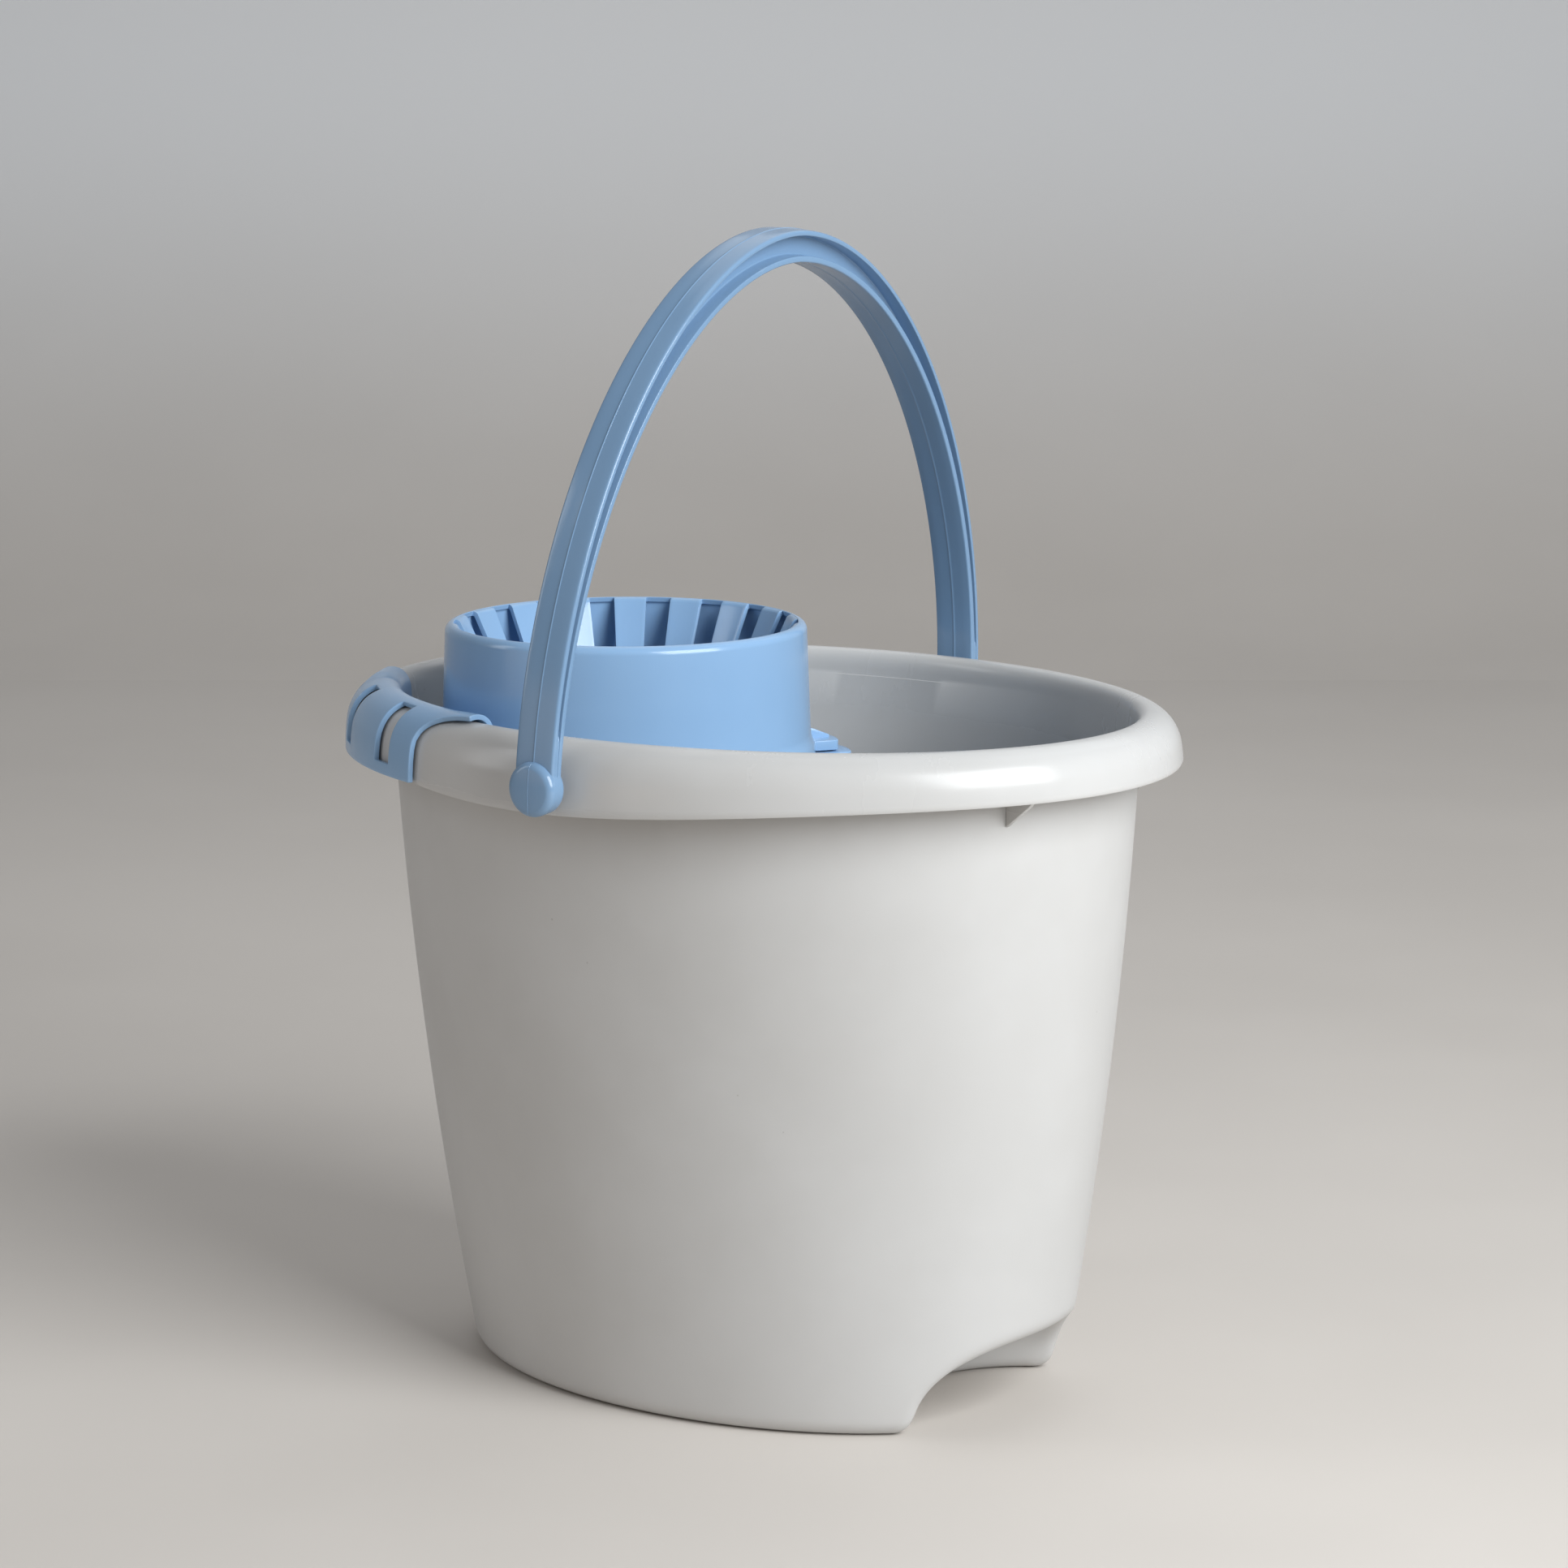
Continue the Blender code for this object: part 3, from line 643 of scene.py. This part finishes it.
def make_carrier():
    out, along, centre = clip_frame()
    inner, outer, soft = 0.0640, 0.0832, 0.0006
    section = [(inner, PLATE_BOTTOM + soft), (inner + soft, PLATE_BOTTOM)]
    section += [(outer - soft, PLATE_BOTTOM), (outer, PLATE_BOTTOM + soft)]
    section += [(outer, PLATE_TOP - soft), (outer - soft, PLATE_TOP)]
    section += [(inner + soft, PLATE_TOP), (inner, PLATE_TOP - soft)]
    plate = turned("carrier_plate", section, centre)
    a, b = wall_half_axes(PLATE_BOTTOM)
    offset = min(a - CREST_A, b - CREST_B) - WALL - 0.0004 - CLIP_GAP - CLIP_SHEET / 2
    outline = [on_oval(CLIP_ANGLE + step, offset, 0.0) for step in np.linspace(-15, 15, 25)]
    outline += [centre + along * 0.050 + out * 0.050, centre - along * 0.050 + out * 0.050]
    low, high = PLATE_BOTTOM + 0.0002, PLATE_TOP - 0.0002
    tongue = bar("carrier_tongue", outline, low, high)
    slab = bar("carrier_slab", rounded_end(0.070, CUP_RADIUS + 0.0240, 0.0112), low, high)
    joined(plate, "UNION", tongue, slab)
    clip = make_clip()
    return joined(clip, "UNION", plate)


# Wringer's cup


def cup_profile():
    """(radius, z) over the cup's outer skin, from the casing's foot over the lip and down the cone."""
    top = CUP_TOP
    wall = [(0.0797, CUP_BOTTOM), (0.0797, 0.2618), (0.0796, 0.2628), (0.0790, 0.2645)]
    wall += [(0.0781, 0.2665), (0.0778, 0.2685), (0.0771, 0.2850), (CUP_RADIUS + 0.0003, 0.3040)]
    lip = arc((CUP_RADIUS - 0.0036, top - 0.0036), 0.0036, 0, 88, 10)
    bend_radius, slope = 0.0026, math.radians(64.5)
    bend = arc((0.0724, top - 0.0002 - bend_radius), bend_radius, 92, 90 + math.degrees(slope), 9)
    last = bend[-1]
    drop = last[1] - 0.2180
    foot = last[0] - drop / math.tan(slope)
    cone = [(last[0] + (foot - last[0]) * t, last[1] - drop * t) for t in np.linspace(0.03, 1, 24)]
    ring = [(foot - 0.0010, 0.2172), (foot - 0.0025, 0.2168), (0.0120, 0.2165)]
    return np.array(wall + lip + bend + cone + ring)


def make_cup():
    _, _, centre = clip_frame()
    profile = cup_profile()
    tangent = np.gradient(profile, axis=0)
    tangent /= np.linalg.norm(tangent, axis=1)[:, None]
    under = np.stack([-tangent[:, 1], tangent[:, 0]], axis=1) * CUP_SHEET
    hidden = profile + under
    cells_finger, cells_slot = 9, 8
    period = 2 * math.pi / FINGERS
    slot = period * SLOT_SHARE
    within = np.concatenate([
        np.linspace(-slot / 2, slot / 2, cells_slot, endpoint=False),
        np.linspace(slot / 2, period - slot / 2, cells_finger, endpoint=False),
    ])
    first = math.radians(FIRST_SLOT)
    turns = np.concatenate([first + within + period * k for k in range(FINGERS)])
    in_slot = np.tile(np.arange(len(within)) < cells_slot, FINGERS)

    def spun(line):
        c, s = np.cos(turns), np.sin(turns)
        x = centre[0] + line[:, 0:1] * c[None]
        y = centre[1] + line[:, 0:1] * s[None]
        return np.stack([x, y, np.repeat(line[:, 1:2], len(turns), axis=1)], axis=-1)

    keep = np.ones((len(profile) - 1, len(turns)), bool)
    past_lip = np.arange(len(profile)) >= np.argmax(profile[:, 1]) + 1
    radius = (profile[:-1, 0] + profile[1:, 0]) / 2
    height = (profile[:-1, 1] + profile[1:, 1]) / 2
    open_rows = past_lip[:-1] & (radius < 0.0722) & (radius > 0.0300) & (height > 0.2190)
    keep[np.ix_(open_rows, in_slot)] = False
    cup = rounded(sheet("cup", spun(profile), spun(hidden), keep, wrap=True), 0.0007)

    lug_low, lug_top = CUP_BOTTOM + 0.0001, 0.2603
    lug = bar("cup_lug", rounded_end(CUP_RADIUS - 0.0005, CUP_RADIUS + 0.0184, 0.0090),
              lug_low, lug_top, 0.0004)
    recess = bar("lug_recess", rounded_end(CUP_RADIUS + 0.0035, CUP_RADIUS + 0.0158, 0.0068),
                 lug_low - 0.001, lug_top - 0.0009, 0.0003)
    joined(lug, "DIFFERENCE", recess)
    out, along, _ = clip_frame()
    front = [(CUP_RADIUS - 0.0005, lug_top - 0.0010), (CUP_RADIUS - 0.0005, 0.2668)]
    front += [(CUP_RADIUS + 0.0085, 0.2643), (CUP_RADIUS + 0.0155, 0.2615)]
    front += [(CUP_RADIUS + 0.0155, lug_top - 0.0010)]
    rings = [
        [centre - out * r + along * side + np.array((0.0, 0.0, z)) for r, z in front]
        for side in (-0.0011, 0.0011)
    ]
    web = rounded(stack("cup_web", np.array(rings)), 0.0003, 2)
    return joined(cup, "UNION", lug, web)


# Materials


class Nodes:
    """Short calls for the nodes of one material."""

    def __init__(self, name):
        self.material = bpy.data.materials.new(name)
        self.material.use_nodes = True
        self.tree = self.material.node_tree
        self.shader = self.tree.nodes["Principled BSDF"]
        self.place = self.tree.nodes.new("ShaderNodeTexCoord").outputs["Object"]

    def link(self, output, target):
        self.tree.links.new(output, target)

    def value(self, kind, inputs, output=0, **settings):
        node = self.tree.nodes.new(kind)
        for key, setting in settings.items():
            setattr(node, key, setting)
        for key, given in inputs.items():
            if isinstance(given, bpy.types.NodeSocket):
                self.link(given, node.inputs[key])
            else:
                node.inputs[key].default_value = given
        return node.outputs[output]

    def noise(self, scale, detail=3.0, roughness=0.5, stretch=None):
        place = self.place
        if stretch:
            place = self.value("ShaderNodeMapping", {"Vector": place, "Scale": stretch})
        return self.value("ShaderNodeTexNoise", {
            "Vector": place, "Scale": scale, "Detail": detail, "Roughness": roughness,
        })

    def math(self, operation, a, b=0.0, c=0.0):
        return self.value("ShaderNodeMath", {0: a, 1: b, 2: c}, operation=operation)

    def ramp(self, factor, low, high, start=0.0, end=1.0):
        """A value that goes smoothly from start to end as factor goes from low to high."""
        return self.value("ShaderNodeMapRange", {
            "Value": factor, "From Min": low, "From Max": high, "To Min": start, "To Max": end,
        }, interpolation_type="SMOOTHSTEP")

    def mix(self, factor, a, b):
        node = self.tree.nodes.new("ShaderNodeMix")
        node.data_type = "RGBA"
        for key, given in ((0, factor), (6, a), (7, b)):
            if isinstance(given, bpy.types.NodeSocket):
                self.link(given, node.inputs[key])
            else:
                node.inputs[key].default_value = (*given, 1.0) if key else given
        return node.outputs[2]

    def specks(self, scale, size):
        """1 in small round dots scattered over the surface, and 0 elsewhere."""
        node = self.tree.nodes.new("ShaderNodeTexVoronoi")
        self.link(self.place, node.inputs["Vector"])
        node.inputs["Scale"].default_value = scale
        dot = self.ramp(node.outputs["Distance"], size, size * 0.6)
        chosen = self.value("ShaderNodeSeparateColor", {"Color": node.outputs["Color"]})
        return self.math("MULTIPLY", dot, self.math("GREATER_THAN", chosen, 0.86))

    def bump(self, height, distance, strength, under=None):
        inputs = {"Height": height, "Distance": distance, "Strength": strength}
        if under is not None:
            inputs["Normal"] = under
        return self.value("ShaderNodeBump", inputs)

    def finish(self, colour, roughness, normal):
        self.link(colour, self.shader.inputs["Base Color"])
        self.link(roughness, self.shader.inputs["Roughness"])
        self.link(normal, self.shader.inputs["Normal"])
        return self.material


def grey_plastic():
    """Satin polypropylene, with a fine grain on the wall and a smoother, glossier rim."""
    n = Nodes("grey_plastic")
    n.shader.inputs["IOR"].default_value = 1.49
    n.shader.inputs["Specular IOR Level"].default_value = 0.45
    n.shader.inputs["Subsurface Weight"].default_value = 0.06
    n.shader.inputs["Subsurface Radius"].default_value = (0.004, 0.0035, 0.003)
    height = n.value("ShaderNodeSeparateXYZ", {"Vector": n.place}, output=2)
    rim = n.ramp(height, 0.2560, 0.2640)
    clouds = n.noise(9.0, 4.0, 0.55)
    colour = n.mix(n.ramp(clouds, 0.30, 0.70), (0.520, 0.512, 0.500), (0.560, 0.554, 0.545))
    colour = n.mix(n.math("MULTIPLY", n.specks(62.0, 0.035), 0.35), colour, (0.22, 0.20, 0.18))
    smudges = n.noise(26.0, 5.0, 0.6, stretch=(1.0, 1.0, 0.35))
    satin = n.ramp(smudges, 0.25, 0.75, 0.44, 0.54)
    gloss = n.ramp(smudges, 0.25, 0.75, 0.20, 0.30)
    roughness = n.math("ADD", n.math("MULTIPLY", satin, n.math("SUBTRACT", 1.0, rim)),
                       n.math("MULTIPLY", gloss, rim))
    grain = n.bump(n.noise(1500.0, 2.0, 0.5), 0.00003, 0.35)
    waves = n.bump(n.noise(11.0, 1.0, 0.4), 0.0004, 0.15, under=grain)
    return n.finish(colour, roughness, waves)


def blue_plastic(name, tone_and_painted_shade):
    """Smooth pale blue polypropylene, with faint flow marks, small pale nicks and a painted highlight on
    sharp edges. The given factor scales the blue: the cup's factor is its own tone, and the handle's
    lower factor is partly its darker tone and partly painted shade.
    """
    n = Nodes(name)
    n.shader.inputs["IOR"].default_value = 1.49
    n.shader.inputs["Specular IOR Level"].default_value = 0.5
    n.shader.inputs["Subsurface Weight"].default_value = 0.05
    n.shader.inputs["Subsurface Radius"].default_value = (0.002, 0.003, 0.004)
    clouds = n.noise(14.0, 4.0, 0.55, stretch=(1.0, 1.0, 0.5))
    # Both blues are scaled by the given factor; a factor below 1 paints shade into the colour.
    low, high = ([tone_and_painted_shade * c for c in blue] for blue in ((0.240, 0.398, 0.610), (0.256, 0.418, 0.632)))
    colour = n.mix(n.ramp(clouds, 0.30, 0.70), low, high)
    nicks = n.math("MULTIPLY", n.specks(95.0, 0.040), 0.28)
    colour = n.mix(nicks, colour, (0.75, 0.82, 0.90))
    # Painted highlight: tightly curved convex edges are lightened to stand in for the sheen that lit
    # edges catch, and partly for slight edge wear.
    edge_highlight_and_wear = n.value("ShaderNodeNewGeometry", {}, output="Pointiness")
    colour = n.mix(n.ramp(edge_highlight_and_wear, 0.53, 0.62, 0.0, 0.30), colour, [tone_and_painted_shade * c for c in (0.40, 0.55, 0.74)])
    smudges = n.noise(38.0, 5.0, 0.6)
    roughness = n.ramp(smudges, 0.25, 0.75, 0.14, 0.23)
    grain = n.bump(n.noise(2200.0, 2.0, 0.5), 0.00002, 0.25)
    waves = n.bump(n.noise(20.0, 1.0, 0.4), 0.00025, 0.12, under=grain)
    return n.finish(colour, roughness, waves)


def stage_surface():
    """Plain pale paint, a little lighter up the backdrop than on the floor."""
    n = Nodes("stage")
    clouds = n.noise(3.0, 3.0, 0.5)
    colour = n.mix(n.ramp(clouds, 0.3, 0.7), (0.62, 0.574, 0.528), (0.65, 0.604, 0.558))
    height = n.value("ShaderNodeSeparateXYZ", {"Vector": n.place}, output=2)
    colour = n.mix(n.ramp(height, 0.0, 0.5), colour, (0.90, 0.90, 0.905))
    roughness = n.ramp(clouds, 0.3, 0.7, 0.55, 0.65)
    return n.finish(colour, roughness, n.bump(n.noise(300.0), 0.0001, 0.15))


# Stage, light and camera


def make_stage(material):
    """A floor that sweeps up into a backdrop, square to the camera."""
    half, front, reach, height, radius = 9.0, 9.0, 2.75, 4.0, 0.9
    line = [(-front, 0.0), (reach - radius, 0.0)]
    line += [(reach + x, radius + z) for x, z in arc((-radius, 0.0), radius, -90, 0, 16)]
    line += [(reach, height)]
    azimuth = math.radians(CAMERA_AZIMUTH)
    back = np.array((-math.sin(azimuth), math.cos(azimuth), 0.0))
    right = np.array((math.cos(azimuth), math.sin(azimuth), 0.0))
    up = np.array((0.0, 0.0, 1.0))
    points = [right * side + back * d + up * z for d, z in line for side in (-half, half)]
    faces = [(2 * i, 2 * i + 1, 2 * i + 3, 2 * i + 2) for i in range(len(line) - 1)]
    floor = mesh_object("floor", points, faces)
    floor.data.materials.append(material)


def area_light(name, azimuth, elevation, distance, size, power, colour):
    """A soft light aimed at the bucket. Azimuth counts from the camera's right, towards it."""
    camera = math.radians(CAMERA_AZIMUTH)
    right = np.array((math.cos(camera), math.sin(camera), 0.0))
    near = np.array((math.sin(camera), -math.cos(camera), 0.0))
    a, e = math.radians(azimuth), math.radians(elevation)
    way = (right * math.cos(a) + near * math.sin(a)) * math.cos(e) + np.array((0, 0, math.sin(e)))
    data = bpy.data.lights.new(name, "AREA")
    data.shape = "RECTANGLE"
    data.size, data.size_y = size
    data.energy = power
    data.color = colour
    lamp = bpy.data.objects.new(name, data)
    lamp.location = Vector(way * distance) + Vector((0.0, 0.0, 0.22))
    lamp.rotation_euler = Vector(way).to_track_quat("Z", "Y").to_euler()
    bpy.context.scene.collection.objects.link(lamp)


CAMERA_AZIMUTH, CAMERA_PITCH = 34.5, 10.28
CAMERA_BACK, CAMERA_SIDE, CAMERA_HEIGHT = 1.9107, 0.0098, 0.5957
LENS, SENSOR = 106.47, 36.0


def make_camera():
    a = math.radians(CAMERA_AZIMUTH)
    data = bpy.data.cameras.new("camera")
    data.sensor_width, data.lens = SENSOR, LENS
    data.clip_end = 20.0
    camera = bpy.data.objects.new("camera", data)
    camera.location = (
        CAMERA_BACK * math.sin(a) + CAMERA_SIDE * math.cos(a),
        -CAMERA_BACK * math.cos(a) + CAMERA_SIDE * math.sin(a),
        CAMERA_HEIGHT,
    )
    camera.rotation_euler = (math.radians(90 - CAMERA_PITCH), 0.0, a)
    bpy.context.scene.collection.objects.link(camera)
    bpy.context.scene.camera = camera


def make_lights():
    area_light("key", 46, 30, 2.0, (1.3, 1.3), 54.0, (0.94, 0.975, 1.0))
    area_light("top", -70, 58, 2.0, (1.8, 1.8), 8.0, (0.97, 0.99, 1.0))
    area_light("window", 176, 22, 1.6, (0.32, 0.9), 2.6, (0.94, 0.97, 1.0))
    area_light("bounce", 150, 3, 1.7, (1.2, 0.4), 1.0, (1.0, 0.76, 0.54))
    world = bpy.data.worlds.new("world")
    world.use_nodes = True
    background = world.node_tree.nodes["Background"]
    background.inputs["Color"].default_value = (0.93, 0.96, 1.0, 1.0)
    background.inputs["Strength"].default_value = 0.23
    bpy.context.scene.world = world
    bpy.context.scene.view_settings.view_transform = "Standard"


def place(piece, body, node, slot, material):
    piece.data.materials.clear()
    piece.data.materials.append(material)
    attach(piece, body)
    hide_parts(node)


make_camera()
grey, blue = grey_plastic(), blue_plastic("blue_plastic", 1.03)
place(make_tub(), "tub", "bucket_tub", "grey_plastic", grey)
# The handle's blue is darkened to 0.73. Part of that is painted shade for its legs, which face away from
# the key light, and part is the handle's own darker tone.
place(make_handle(), "handle", "bail_handle", "blue_plastic", blue_plastic("blue_handle_painted_shade", 0.73))
place(make_carrier(), "wringer", "wringer_carrier", "blue_plastic", blue)
place(make_cup(), "wringer", "wringer_cup", "blue_plastic", blue)
make_stage(stage_surface())
make_lights()
